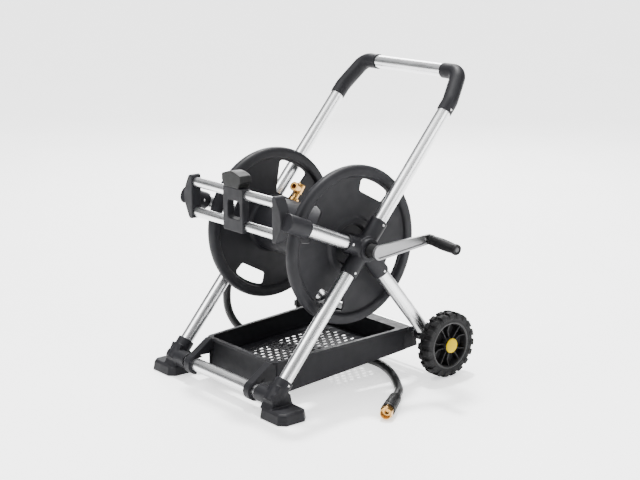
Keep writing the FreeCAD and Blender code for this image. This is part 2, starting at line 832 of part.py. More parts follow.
def inlet():
    """The fixed brass swivel on the left hub, which the leader hose feeds, and its two seals."""
    out = ALONG_X * -1
    sleeve = cylinder(21.0, 26.0, at_x(-D.hub_ring_x, 0, D.hub_height), out)
    neck_at = at_x(-D.inlet_x, 0, D.hub_height)
    down = (Vector(*HOSE_ROUTE[0]) - neck_at).normalize()
    neck = cylinder(11.0, 34.0, neck_at, down)
    ferrule_at = Vector(*HOSE_ROUTE[0]) - down * 26
    ferrule = cylinder(14.5, 26.0, ferrule_at, down)
    chamber = cylinder(16.5, 12.0, at_x(-D.hub_ring_x, 0, D.hub_height), out)
    passage = cylinder(9.0, 20.0, at_x(-D.hub_ring_x, 0, D.hub_height), out)
    drop = cylinder(7.0, 30.0, neck_at, down)
    keep("inlet_swivel", cut(fuse(sleeve, neck), chamber, passage, drop))
    keep("inlet_ferrule", cut(ferrule, cylinder(11.0, 26.0 - 4, ferrule_at, down)))
    keep("inlet_seal", pipe(16.5, 9.0, 3.0, at_x(-D.hub_ring_x - 2, 0, D.hub_height), out))


def crank():
    """Boss, flat arm with a recessed face, spindle and the grip that turns on it."""
    centre_z = float(D.hub_height)
    boss_at = at_x(D.hub_outer_x + 3, 0, D.hub_height)
    boss = cylinder(D.crank_boss_dia / 2, D.crank_arm_x - D.hub_outer_x - 3, boss_at, ALONG_X)
    bore = cylinder(D.axle_dia / 2, D.crank_arm_x - D.hub_outer_x - 7, boss_at, ALONG_X)
    keep("crank_boss", cut(boss, bore))

    arm = new_body("CrankArm")
    outline = new_sketch(arm, "YZ_Plane")
    hub_half, tip_half = D.crank_wide_hub / 2, D.crank_wide_tip / 2
    draw_bar(outline, hub_half, tip_half, D.crank_radius)
    plate = pad(arm, outline, D.crank_arm_thick)
    recess = new_sketch(arm, "YZ_Plane", D.crank_arm_thick)
    draw_bar(recess, hub_half - 5, tip_half - 5, D.crank_radius - 22)
    pocket(arm, recess, 4.0, midplane=False)
    arm.Placement = FreeCAD.Placement(
        at_x(D.crank_arm_x, 0, centre_z), FreeCAD.Rotation(Vector(1, 0, 0), float(D.crank_angle))
    )
    tip = in_side_plane(float(D.crank_angle)) * float(D.crank_radius)
    tilt = math.radians(float(D.grip_tilt))
    out = Vector(math.cos(tilt), 0, -math.sin(tilt))
    tip_at = at_x(D.crank_arm_x + D.crank_arm_thick / 2, tip.y, centre_z + tip.z)
    hole = cylinder(D.spindle_dia / 2, 40.0, tip_at - out * 20, out)
    keep("crank_arm", cut(arm, hole))

    gap = 9.0
    shank = cylinder(D.spindle_dia / 2, gap + D.grip_long - 1 + 4, tip_at - out * 4, out)
    collar = cylinder(8.5, 2.5, tip_at + out * (gap - 3), out)
    head = cylinder(7.0, 3.0, tip_at + out * (gap + float(D.grip_long) - 4), out)
    keep("grip_spindle", fuse(shank, collar, head))
    grip_at = tip_at + out * gap
    skin = cylinder(D.grip_dia / 2, D.grip_long, grip_at, out)
    running = cylinder(D.spindle_dia / 2 + D.bush_clear, D.grip_long, grip_at, out)
    recess = cylinder(8.5, 5.0, grip_at + out * (float(D.grip_long) - 5), out)
    keep("crank_grip", cut(skin, running, recess))


def draw_bar(sketch, near_half, far_half, reach):
    """A tapered bar with round ends, from the origin along the sketch's first axis."""
    near, far, length = float(near_half), float(far_half), float(reach)
    lean = math.asin((near - far) / length)
    ends = []
    for sign in (1, -1):
        ends.append(
            (
                Vector(near * math.sin(lean), sign * near * math.cos(lean), 0),
                Vector(length + far * math.sin(lean), sign * far * math.cos(lean), 0),
            )
        )
    edges = [Part.LineSegment(*ends[0]), Part.LineSegment(*ends[1])]
    edges.append(Part.Arc(ends[0][0], Vector(-near, 0, 0), ends[1][0]))
    edges.append(Part.Arc(ends[0][1], Vector(length + far, 0, 0), ends[1][1]))
    sketch.addGeometry(edges, False)


def wedge(plan, side):
    """A solid that has one outline from above, with rounded corners, and another from the side."""
    upright = new_body("PlanPad")
    sketch = new_sketch(upright, "XY_Plane")
    draw_rounded(sketch, plan)
    pad(upright, sketch, 200.0)
    across = new_body("SidePad")
    sketch = new_sketch(across, "YZ_Plane")
    draw_polygon(sketch, side)
    pad(across, sketch, D.side_x * 2, midplane=True)
    thing = DOC.addObject("Part::Common", "Wedge")
    thing.Base = upright
    thing.Tool = across
    return thing


class TrayShape:
    """The tray's slanted outlines: wider towards the wheels, and deeper towards the feet."""

    front, rear = float(D.tray_front_y), float(D.tray_rear_y)
    top_front, top_rear = 116.0, 134.0
    bottom_front, bottom_rear = 18.0, 66.0

    @classmethod
    def along(cls, y, at_front, at_rear):
        return at_front + (at_rear - at_front) * (y - cls.front) / (cls.rear - cls.front)

    @classmethod
    def half(cls, y):
        return cls.along(y, float(D.tray_front_half), float(D.tray_rear_half))

    @classmethod
    def top(cls, y):
        return cls.along(y, cls.top_front, cls.top_rear)

    @classmethod
    def bottom(cls, y):
        return cls.along(y, cls.bottom_front, cls.bottom_rear)

    @classmethod
    def floor(cls, y):
        return cls.top(y) - float(D.tray_depth)

    @classmethod
    def plan(cls, inset, corner, near=front, far=rear):
        """The outline from above between two places along Y, moved in by an inset all round."""
        near, far = near + inset, far - inset
        wide_near, wide_far = cls.half(near) - inset, cls.half(far) - inset
        outline = [(-wide_near, near), (wide_near, near), (wide_far, far), (-wide_far, far)]
        return [(x, y, corner) for x, y in outline]

    @classmethod
    def band(cls, low, high):
        """The outline from the side, between two lines given as functions of y."""
        near, far = cls.front - 60.0, cls.rear + 60.0
        return [(near, low(near)), (far, low(far)), (far, high(far)), (near, high(near))]


def tray():
    """A moulded tray, deeper outside than inside, with hooks for the front and the rear tube."""
    shape = TrayShape
    wall, lip = float(D.tray_wall), float(D.tray_lip)
    plate, ledge, back = 3.5, 17.0, float(D.tray_back_y)
    far = float(D.tray_rear_y)
    skin = wedge(shape.plan(0, 14), shape.band(shape.bottom, shape.top))
    rim = wedge(shape.plan(-lip, 18), shape.band(lambda y: shape.top(y) - 7, shape.top))
    inside = wedge(
        shape.plan(wall, 20, far=back + wall), shape.band(shape.floor, lambda y: shape.top(y) + 20)
    )
    under = wedge(
        shape.plan(wall, 11, far=back + wall),
        shape.band(lambda y: shape.bottom(y) - 20, lambda y: shape.floor(y) - plate),
    )
    behind = wedge(
        shape.plan(wall, 8, near=back),
        shape.band(lambda y: shape.bottom(y) - 20, lambda y: shape.top(y) - 6),
    )
    opening = wedge(shape.plan(wall + ledge, 8, far=back + wall), shape.band(lambda y: 1.0, shape.top))
    shell = cut(fuse(skin, rim), inside, under, behind, opening)

    hooks = []
    hook_wide, hook_in, hook_out = 24.0, float(TUBE_RADIUS) + 0.3, float(TUBE_RADIUS) + 9
    web_thick = 6.0
    front, front_top = shape.front, shape.top_front
    for name, sign in SIDES:
        x = (float(D.tray_front_half) - hook_wide) * sign
        start = at_x(x, FRONT_TUBE_AT.y, FRONT_TUBE_AT.z)
        ring = cylinder(hook_out, hook_wide, start, ALONG_X * sign)
        arm = new_body("HookArm")
        profile = new_sketch(arm, "YZ_Plane", x + hook_wide / 2 * sign)
        draw_polygon(
            profile,
            [
                (FRONT_TUBE_AT.y, FRONT_TUBE_AT.z + hook_in),
                (front + 2, front_top - 26),
                (front + 2, front_top),
                (front - 14, front_top - 2),
                (FRONT_TUBE_AT.y - 8, FRONT_TUBE_AT.z + hook_out - 1),
            ],
        )
        pad(arm, profile, hook_wide, midplane=True)
        web = new_body("HookWeb")
        profile = new_sketch(web, "YZ_Plane", (x + hook_wide * sign) - web_thick / 2 * sign)
        draw_polygon(
            profile,
            [
                (FRONT_TUBE_AT.y + hook_in, FRONT_TUBE_AT.z + hook_out - 4),
                (FRONT_TUBE_AT.y + hook_in, FRONT_TUBE_AT.z - 2),
                (front + 3, shape.bottom(front) + 8),
                (front + 3, front_top - 20),
            ],
        )
        pad(web, profile, web_thick, midplane=True)
        gap_low = (min(x, x + hook_wide * sign) - 1, FRONT_TUBE_AT.y, FRONT_TUBE_AT.z - 60)
        gap = box(gap_low, hook_wide + 2, 60.0, 78.0)
        seat = cylinder(hook_in, hook_wide + 16, start - ALONG_X * sign * 8, ALONG_X * sign)
        hooks.append(cut(fuse(ring, arm, web), gap, seat))
    cheeks = []
    thick = 9.0
    outline = [(205, 66), (256, 70), (251, 99), (242, 128), (205, 131)]
    for name, sign in SIDES:
        cheek = new_body("Cheek")
        profile = new_sketch(cheek, "YZ_Plane", (shape.half(far) - thick / 2) * sign)
        draw_polygon(profile, outline)
        pad(cheek, profile, thick, midplane=True)
        start = at_x((shape.half(far) - thick - 5) * sign, REAR_TUBE_AT.y, REAR_TUBE_AT.z)
        seat_radius = D.rear_tube_dia / 2 + 0.3
        seat = cylinder(seat_radius, thick + 10, start, ALONG_X * sign)
        gap = box((min(start.x, start.x + 20 * sign), start.y, start.z - seat_radius), 20.0, 30.0, 40.0)
        cheeks.append(cut(cheek, seat, gap))
    keep("tray", fuse(shell, *hooks, *cheeks))
    keep(
        "tray_mesh",
        wedge(
            shape.plan(wall + 0.5, 19, far=back + wall),
            shape.band(lambda y: shape.floor(y) + 0.1, lambda y: shape.floor(y) + 3.1),
        ),
    )


# The leader hose's route, chosen point by point: out of the left hub's swivel, down in front of the
# rear leg, along the floor under the tray and out on the right.
HOSE_ROUTE = [
    (-279, -26, 355),
    (-281.6, -60.6, 283.1),
    (-281, -91, 205),
    (-280, -88, 130),
    (-270, -50, 68),
    (-236, 8, 25),
    (-180, 62, 12),
    (-95, 118, 12),
    (0, 162, 12),
    (90, 180, 12),
    (160, 160, 12),
    (226, 126, 12),
    (280, 88, 12.5),
    (322, 56, 15),
    (347, 27, 20),
    (368, -2, 20),
]


def leader_hose():
    """The hose as straight runs and large tangent arcs, its ribbed end sleeve and brass coupling."""
    points = [Vector(*p) for p in HOSE_ROUTE]
    radii = [0.0] * len(points)
    for i in range(1, len(points) - 1):
        run_in, run_out = points[i] - points[i - 1], points[i + 1] - points[i]
        half_turn = run_in.getAngle(run_out) / 2
        radii[i] = 0.45 * min(run_in.Length, run_out.Length) / math.tan(half_turn)
    path = rounded_path(points, radii)
    start_dir = (points[1] - points[0]).normalize()
    hose = swept(path, D.hose_dia / 2, points[0], start_dir)
    keep("leader_hose", hose)
    section = math.pi * (float(D.hose_dia) / 2) ** 2
    print("hose length", round(path.Length, 1), "volume ratio", hose.Shape.Volume / (section * path.Length))
    print("hose radii", [round(r) for r in radii[1:-1]])

    out = (points[-1] - points[-2]).normalize()
    sleeve_long = 98.0
    keep("hose_end_sleeve", cone(17.0, 19.5, sleeve_long, points[-1], out))
    nut_at = points[-1] + out * sleeve_long
    nut = cylinder(19.2, 28.0, nut_at, out)
    throat = cylinder(12.7, 14.0, nut_at + out * 14, out)
    keep("hose_end_fitting", cut(nut, throat))


def screw_groups():
    """Pan-head screws through the sockets, one group for each set of like sockets."""
    spots = {
        "hub_screws": [
            (UP_HANDLE, D.socket_handle - 10, SOCKET_RADIUS, 1),
            (DOWN_FRONT, D.socket_front - 10, SOCKET_RADIUS, 1),
            (DOWN_REAR, D.socket_rear - 10, SOCKET_RADIUS, 1),
            (UP_ARM, D.socket_arm - 10, SOCKET_RADIUS, 1),
        ],
        "foot_screws": [(DOWN_FRONT, D.foot_socket_start + 10, SOCKET_RADIUS, 1)],
        "elbow_screws": [(UP_HANDLE, D.elbow_start + 9, TUBE_RADIUS + D.elbow_wall, 1)],
        "guide_screws": [(UP_ARM, D.guide_socket_start + 22, SOCKET_RADIUS, -1)],
    }
    for node, places in spots.items():
        screws = []
        for name, side in SIDES:
            for direction, distance, surface, outward in places:
                out = ALONG_X * (side * outward)
                at = on_axis(side, direction, distance) + out * float(surface)
                screws.append(cone(SCREW_HEAD, SCREW_HEAD - 1.2, 1.8, at, out))
        keep(node, group(*screws))


CORD_NODES = ("leader_hose", "hose_end_sleeve", "hose_end_fitting")


def stand_on_origin():
    """Move every piece so that the origin is on the floor under the middle of the cart's box.

    The leader hose and what is on its end lie loose, so they aren't counted in the box.
    """
    whole = FreeCAD.BoundBox()
    for node, thing in PIECES.items():
        if node not in CORD_NODES:
            whole.add(thing.Shape.optimalBoundingBox())
    print("box", whole)
    shift = Vector(-round(whole.Center.x, 1), -round(whole.Center.y, 1), 0)
    print("shift", shift)
    move = FreeCAD.Placement(shift, FreeCAD.Rotation())
    for thing in PIECES.values():
        thing.Placement = move.multiply(thing.Placement)


side_tubes()
hub_brackets()
handle()
feet()
cross_tubes()
axle_brackets()
wheel_axle()
wheels()
guide_rails()
guide_carriage()
reel_flanges()
reel_core()
inlet()
crank()
tray()
leader_hose()
screw_groups()

# ---- Check and export ----

DOC.recompute()
stand_on_origin()
DOC.recompute()
for thing in DOC.Objects:
    if "Invalid" in thing.State or "Error" in thing.State:
        raise RuntimeError(f"{thing.Label} failed: {thing.State}")
os.makedirs("parts", exist_ok=True)
for node, thing in PIECES.items():
    if thing.Shape.isNull() or not thing.Shape.isValid():
        raise RuntimeError(f"{node} has no valid shape")
    thing.Shape.exportStep(os.path.join("parts", f"{node}.step"))
print(f"{len(PIECES)} nodes written")
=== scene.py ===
import bmesh
import bpy
import json
import math
from mathutils import Matrix, Vector


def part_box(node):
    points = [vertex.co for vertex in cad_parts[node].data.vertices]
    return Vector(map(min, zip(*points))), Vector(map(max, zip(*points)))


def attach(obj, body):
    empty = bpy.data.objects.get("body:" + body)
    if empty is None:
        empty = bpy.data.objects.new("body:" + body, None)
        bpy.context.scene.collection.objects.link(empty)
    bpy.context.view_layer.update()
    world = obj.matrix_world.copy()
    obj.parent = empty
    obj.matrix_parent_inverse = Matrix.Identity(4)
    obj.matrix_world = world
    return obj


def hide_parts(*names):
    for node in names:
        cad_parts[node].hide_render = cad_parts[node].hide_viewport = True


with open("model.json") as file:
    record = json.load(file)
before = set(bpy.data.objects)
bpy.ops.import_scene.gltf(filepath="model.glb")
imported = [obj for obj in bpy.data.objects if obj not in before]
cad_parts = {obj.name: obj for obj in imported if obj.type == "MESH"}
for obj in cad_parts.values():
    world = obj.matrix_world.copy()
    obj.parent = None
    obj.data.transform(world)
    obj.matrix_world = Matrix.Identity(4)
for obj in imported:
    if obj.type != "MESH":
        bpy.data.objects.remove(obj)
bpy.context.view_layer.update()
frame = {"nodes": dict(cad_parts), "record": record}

# The CAD is drawn from a point on the floor under the reel's middle, and is then moved so that the
# origin is under the cart's middle.
SHIFT = Vector((-0.0487, -0.0273, 0.0))
SIDES = (("right", 1), ("left", -1))
X, Z = Vector((1, 0, 0)), Vector((0, 0, 1))


def at(x, y, z):
    """A point given in millimetres from the floor under the reel's middle, in the row frame."""
    return Vector((x, y, z)) / 1000 + SHIFT


def in_side_plane(degrees):
    turn = math.radians(degrees)
    return Vector((0, math.cos(turn), math.sin(turn)))


UP_HANDLE = in_side_plane(49.5)
DOWN_REAR = in_side_plane(-50.0)
UP_ARM = in_side_plane(180 - 22.6)

# ---- Camera ----

camera = bpy.data.objects.new("Camera", bpy.data.cameras.new("Camera"))
bpy.context.collection.objects.link(camera)
camera.location = (2.9804, -2.4995, 1.3454)
camera.rotation_euler = (math.radians(90 - 13.74), 0, math.radians(50.89))
camera.data.lens = 79.88
camera.data.sensor_width = 36
camera.data.shift_x = 0.0202
camera.data.shift_y = -0.0004
camera.data.clip_end = 60
bpy.context.scene.camera = camera

# ---- The leader hose ----

HOSE_ROUTE = [
    (-279, -26, 355),
    (-281.6, -60.6, 283.1),
    (-281, -91, 205),
    (-280, -88, 130),
    (-270, -50, 68),
    (-236, 8, 25),
    (-180, 62, 12),
    (-95, 118, 12),
    (0, 162, 12),
    (90, 180, 12),
    (160, 160, 12),
    (226, 126, 12),
    (280, 88, 12.5),
    (322, 56, 15),
    (347, 27, 20),
    (368, -2, 20),
]
HOSE_DIA = 0.024


def hose_curve():
    data = bpy.data.curves.new("leader_hose_line", "CURVE")
    data.dimensions = "3D"
    spline = data.splines.new("NURBS")
    spline.points.add(len(HOSE_ROUTE) - 1)
    for point, place in zip(spline.points, HOSE_ROUTE):
        point.co = (*at(*place), 1)
    spline.order_u = 3
    spline.use_endpoint_u = True
    spline.resolution_u = 12
    data.bevel_depth = HOSE_DIA / 2
    data.bevel_resolution = 7
    data.use_fill_caps = True
    curve = bpy.data.objects.new("leader_hose_line", data)
    bpy.context.collection.objects.link(curve)
    return curve


hose = hose_curve()


# ---- Mesh helpers ----


def basis(origin, axis):
    """Local Z along an axis, at a point."""
    turn = Z.rotation_difference(Vector(axis).normalized()).to_matrix().to_4x4()
    return Matrix.Translation(origin) @ turn


def new_object(name, mesh_builder, smooth=35):
    bm = bmesh.new()
    mesh_builder(bm)
    bmesh.ops.recalc_face_normals(bm, faces=bm.faces)
    mesh = bpy.data.meshes.new(name)
    bm.to_mesh(mesh)
    bm.free()
    piece = bpy.data.objects.new(name, mesh)
    bpy.context.collection.objects.link(piece)
    mesh.shade_smooth()
    if smooth:
        mesh.set_sharp_from_angle(angle=math.radians(smooth))
    return piece


def add_lathe(bm, profile, place, segments=48, flats=None):
    """A closed solid of revolution from (radius, height) pairs in millimetres, cut to a hexagon
    wherever it reaches beyond the distance of its flats."""
    rings = []
    for radius, height in profile:
        if radius < 1e-6:
            rings.append([bm.verts.new(place @ Vector((0, 0, height / 1000)))])
            continue
        ring = []
        for k in range(segments):
            turn = 2 * math.pi * k / segments
            reach = radius
            if flats:
                reach = min(radius, flats / math.cos(turn % (math.pi / 3) - math.pi / 6))
            spot = Vector((reach * math.cos(turn), reach * math.sin(turn), height)) / 1000
            ring.append(bm.verts.new(place @ spot))
        rings.append(ring)
    for low, high in zip(rings, rings[1:]):
        if len(low) == 1 and len(high) == 1:
            continue
        for k in range(segments):
            n = (k + 1) % segments
            if len(low) == 1:
                bm.faces.new((low[0], high[k], high[n]))
            elif len(high) == 1:
                bm.faces.new((low[k], low[n], high[0]))
            else:
                bm.faces.new((low[k], low[n], high[n], high[k]))


def lathe(name, profile, origin, axis, segments=48, smooth=35):
    return new_object(name, lambda bm: add_lathe(bm, profile, basis(origin, axis), segments), smooth)


def bevel(piece, width, segments=2, angle=35):
    """Rounds a piece's own hard edges."""
    modifier = piece.modifiers.new("Bevel", "BEVEL")
    modifier.width = width / 1000
    modifier.segments = segments
    modifier.limit_method = "ANGLE"
    modifier.angle_limit = math.radians(angle)
    modifier.harden_normals = False
    return piece


def soften(node, voxel, rounds):
    """Rounds a moulded CAD node's edges and creases as a mould would."""
    piece = frame["nodes"][node]
    weld = piece.modifiers.new("Weld", "WELD")
    weld.merge_threshold = 0.00002
    remesh = piece.modifiers.new("Remesh", "REMESH")
    remesh.mode = "VOXEL"
    remesh.voxel_size = voxel / 1000
    remesh.use_smooth_shade = True
    smooth = piece.modifiers.new("Smooth", "SMOOTH")
    smooth.factor = 0.5
    smooth.iterations = rounds


# ---- Materials ----


class Material:
    """A principled material with its own small node graph."""

    def __init__(self, name, color, rough, metal=0.0, **sockets):
        self.material = bpy.data.materials.new(name)
        self.material.use_nodes = True
        self.tree = self.material.node_tree
        self.shader = self.tree.nodes["Principled BSDF"]
        self.color = color
        self.set("Base Color", (*color, 1))
        self.set("Roughness", rough)
        self.set("Metallic", metal)
        for socket, value in sockets.items():
            self.set(socket.replace("_", " "), value)
        coords = self.tree.nodes.new("ShaderNodeTexCoord")
        self.coords = coords.outputs["Object"]

    def set(self, socket, value):
        self.shader.inputs[socket].default_value = value

    def link(self, output, socket):
        self.tree.links.new(output, socket)

    def noise(self, scale, detail=3.0, stretch=None, axis=None):
        """Noise in object space, drawn out along an axis when a stretch is given."""
        node = self.tree.nodes.new("ShaderNodeTexNoise")
        node.inputs["Scale"].default_value = scale
        node.inputs["Detail"].default_value = detail
        source = self.coords
        if stretch:
            turn = self.tree.nodes.new("ShaderNodeMapping")
            turn.vector_type = "POINT"
            turn.inputs["Rotation"].default_value = (
                Vector(axis).rotation_difference(Z).to_matrix().to_euler()
            )
            self.link(source, turn.inputs["Vector"])
            squeeze = self.tree.nodes.new("ShaderNodeMapping")
            squeeze.inputs["Scale"].default_value = (1, 1, 1 / stretch)
            self.link(turn.outputs["Vector"], squeeze.inputs["Vector"])
            source = squeeze.outputs["Vector"]
        self.link(source, node.inputs["Vector"])
        return node.outputs["Fac"]

    def spread(self, value, low, high, socket=None):
        """Maps a noise's middle range to two numbers."""
        node = self.tree.nodes.new("ShaderNodeMapRange")
        node.inputs["From Min"].default_value = 0.3
        node.inputs["From Max"].default_value = 0.7
        node.inputs["To Min"].default_value = low
        node.inputs["To Max"].default_value = high
        self.link(value, node.inputs["Value"])
        if socket:
            self.link(node.outputs["Result"], self.shader.inputs[socket])
        return node.outputs["Result"]

    def tint(self, value, dark, light):
        """Varies the base colour between two multiples of itself."""
        node = self.tree.nodes.new("ShaderNodeMix")
        node.data_type = "RGBA"
        factor, a, b = node.inputs["Factor"], node.inputs[6], node.inputs[7]
        a.default_value = (*[c * dark for c in self.color], 1)
        b.default_value = (*[min(1.0, c * light) for c in self.color], 1)
        self.link(self.spread(value, 0, 1), factor)
        self.link(node.outputs[2], self.shader.inputs["Base Color"])

    def bump(self, value, strength, distance, round_edges=0.0):
        node = self.tree.nodes.new("ShaderNodeBump")
        node.inputs["Strength"].default_value = strength
        node.inputs["Distance"].default_value = distance
        self.link(value, node.inputs["Height"])
        if round_edges:
            edge = self.tree.nodes.new("ShaderNodeBevel")
            edge.samples = 6
            edge.inputs["Radius"].default_value = round_edges
            self.link(edge.outputs["Normal"], node.inputs["Normal"])
        self.link(node.outputs["Normal"], self.shader.inputs["Normal"])


def moulded(name, color, rough, grain=900, depth=0.00012, edge=0.002, **sockets):
    """Moulded plastic or rubber: fine grain, cloudy sheen and soft edges."""
    made = Material(name, color, rough, **sockets)
    made.tint(made.noise(14, 4), 0.86, 1.14)
    made.spread(made.noise(40, 3), rough - 0.07, rough + 0.07, "Roughness")
    made.bump(made.noise(grain, 2), 0.35, depth, edge)
    return made.material


def metal(name, color, rough, stretch=None, axis=None, grain=700, edge=0.0006):
    """Metal with drawn or cast grain and slight tarnish."""
    made = Material(name, color, rough, metal=1.0)
    made.tint(made.noise(9, 4), 0.93, 1.05)
    lines = made.noise(grain, 2, stretch, axis)
    made.spread(lines, rough - 0.06, rough + 0.08, "Roughness")
    made.bump(lines, 0.18, 0.00006, edge)
    return made.material


CHARCOAL = moulded("charcoal_plastic", (0.0088, 0.0088, 0.0108), 0.52, Specular_IOR_Level=0.2)
KNOB = moulded("knob_plastic", (0.0085, 0.0088, 0.0086), 0.5, Specular_IOR_Level=0.2)
BLACK = moulded("black_plastic", (0.008, 0.008, 0.0085), 0.42, Specular_IOR_Level=0.35)
BUSH = moulded("bush_plastic", (0.5, 0.5, 0.48), 0.4)
YELLOW = moulded("yellow_plastic", (0.5, 0.35, 0.0), 0.6, depth=0.00005, Specular_IOR_Level=0.05)
TYRE = moulded("tyre_rubber", (0.0055, 0.0055, 0.006), 0.65, grain=600, depth=0.0002, Specular_IOR_Level=0.2)
GRIP = moulded("grip_rubber", (0.0036, 0.0036, 0.004), 0.5, grain=1100, Specular_IOR_Level=0.16)
HOSE = moulded("hose_rubber", (0.006, 0.006, 0.0065), 0.42, grain=500, depth=0.00008, Specular_IOR_Level=0.35)
STEEL = metal("bright_steel", (0.62, 0.62, 0.62), 0.26)
# Steel darkened with painted shade, for the spindle that sits in the shade of the grip's recess.
SHADE_DARKENED_STEEL = metal("steel_darkened_as_painted_shade", (0.07, 0.07, 0.072), 0.45)
CAST = metal("cast_arm", (0.26, 0.26, 0.265), 0.36, grain=420)
BRASS = metal("brass", (0.58, 0.33, 0.1), 0.24)
SLOT_MATERIALS = {
    "charcoal_plastic": CHARCOAL,
    "knob_plastic": KNOB,
    "black_plastic": BLACK,
    "bush_plastic": BUSH,
    "yellow_plastic": YELLOW,
    "tyre_rubber": TYRE,
    "grip_rubber": GRIP,
    "hose_rubber": HOSE,
    "bright_steel": STEEL,
    "cast_arm": CAST,
    "brass": BRASS,
}
TUBE_AXES = {
    "handle_tube": UP_HANDLE,
    "front_leg": UP_HANDLE,
    "rear_leg": DOWN_REAR,
    "guide_arm": UP_ARM,
    "handle_crossbar": X,
    "front_cross_tube": X,
    "rear_cross_tube": X,
    "guide_rail": X,
}
ALUMINIUM = {
    stem: metal(f"tube_aluminium_{stem}", (0.8, 0.805, 0.81), 0.27, 60, axis, grain=900)
    for stem, axis in TUBE_AXES.items()
}


def paint(piece, material):
    piece.data.materials.clear()
    piece.data.materials.append(material)


def add(piece, material, slot, body, *replaced):
    """Gives a new piece its finish and its body, and hides the CAD nodes that it stands for."""
    paint(piece, material)
    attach(piece, body)
    if replaced:
        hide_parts(*replaced)
    return piece


for part in frame["record"]["subparts"]:
    node, slot = part["node"], part["material_slot"]
    if slot == "tube_aluminium":
        stem = next(stem for stem in TUBE_AXES if node.startswith(stem))
        paint(frame["nodes"][node], ALUMINIUM[stem])
    else:
        paint(frame["nodes"][node], SLOT_MATERIALS[slot])
# Painted shade: the spindle shows only as a screw at the bottom of the grip's dark recess, so its steel is
# painted dark for the shade that falls there.
paint(frame["nodes"]["grip_spindle"], SHADE_DARKENED_STEEL)

# ---- The hose's end ----

paint(hose, HOSE)
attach(hose, "frame")
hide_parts("leader_hose")
END_AT = at(*HOSE_ROUTE[-1])
END_WAY = (Vector(HOSE_ROUTE[-1]) - Vector(HOSE_ROUTE[-2])).normalized()
SLEEVE_LONG = 98


def sleeve_profile():
    """Ring ribs on a sleeve that tapers a little towards the hose."""
    outline = [(0, -1), (14.5, -1), (16.4, 0)]
    ribs = 14
    pitch = (SLEEVE_LONG - 12) / ribs
    for k in range(ribs):
        base = 3 + k * pitch
        crest = 16.9 + 2.4 * k / ribs
        outline += [(crest - 3.0, base), (crest, base + 1.0), (crest, base + pitch - 2.9)]
        outline += [(crest - 3.0, base + pitch - 1.7)]
    outline += [(19.3, SLEEVE_LONG - 8), (19.3, SLEEVE_LONG - 1), (18.6, SLEEVE_LONG), (0, SLEEVE_LONG)]
    return outline


sleeve = lathe("hose_sleeve_ribbed", sleeve_profile(), END_AT, END_WAY, 40)
add(sleeve, HOSE, "hose_rubber", "frame", "hose_end_sleeve")


def coupling(bm):
    """A hexagonal brass nut behind a round mouth, with ring grooves for a thread in its open throat."""
    place = basis(END_AT + END_WAY * SLEEVE_LONG / 1000, END_WAY)
    grooves = []
    for k in range(6):
        grooves += [(12.9, 27 - 2 * k), (12.2, 26 - 2 * k)]
    outline = [(0, -1), (14, -1), (14, 2), (16.4, 2.4), (19.0, 5), (19.0, 19), (16.6, 21.6)]
    outline += [(16.2, 27), (15.2, 28), (13.4, 28), *grooves, (12.2, 14), (6.5, 13.5), (6.5, 5), (0, 5)]
    add_lathe(bm, outline, place, 48, flats=16.6)


add(new_object("hose_coupling", coupling, 30), BRASS, "brass", "frame", "hose_end_fitting")

# ---- Moulded nodes with softened edges ----

for name, _ in SIDES:
    soften(f"handle_elbow_{name}", 1.3, 6)
    soften(f"hub_bracket_{name}", 1.4, 6)
    soften(f"foot_{name}", 1.4, 7)
    soften(f"axle_bracket_{name}", 1.4, 6)
    soften(f"guide_bracket_{name}", 1.2, 7)
soften("guide_carriage", 1.1, 4)
soften("guide_knob", 1.0, 8)

# ---- Wheels ----

WHEEL_RADIUS = (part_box("tyre_right")[1][2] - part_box("tyre_right")[0][2]) * 500
WHEEL_X, WHEEL_Y = 280, 273.4
WHEEL_AT = {name: at(WHEEL_X * side, WHEEL_Y, WHEEL_RADIUS) for name, side in SIDES}
LUGS = 19
RIBS = 10


def tyre(bm, centre, side):
    """A rounded carcass with two staggered rows of blocks that run down its sidewalls."""
    tip = WHEEL_RADIUS
    carcass = [(66, -12), (66.5, -16), (69, -18.5), (tip - 14, -20.4), (tip - 8, -18.5)]
    carcass += [(tip - 6.2, -14), (tip - 5.6, 0)]
    carcass += [(radius, -height) for radius, height in carcass[-2::-1]]
    place = basis(centre, X * side)
    add_lathe(bm, carcass + [carcass[0]], place, 76)
    pitch = 2 * math.pi / LUGS
    for row in (-1, 1):
        for k in range(LUGS):
            spin = place @ Matrix.Rotation(pitch * (k + (0.5 if row > 0 else 0)), 4, "Z")
            half = tip * pitch * 0.31
            section = []
            for y in (-half, half):
                section.append(
                    [
                        (tip - 8, y, row * 1.0),
                        (tip - 0.2, y * 0.86, row * 2.5),
                        (tip - 0.4, y * 0.86, row * 15.0),
                        (tip - 4.5, y * 0.9, row * 21.6),
                        (tip - 17, y * 0.66, row * 21.9),
                        (tip - 19, y * 0.6, row * 17.0),
                    ]
                )
            verts = [bm.verts.new(spin @ (Vector(p) / 1000)) for p in section[0] + section[1]]
            bm.faces.new(verts[:6])
            bm.faces.new(verts[:5:-1])
            for i in range(6):
                n = (i + 1) % 6
                bm.faces.new((verts[i], verts[i + 6], verts[n + 6], verts[n]))


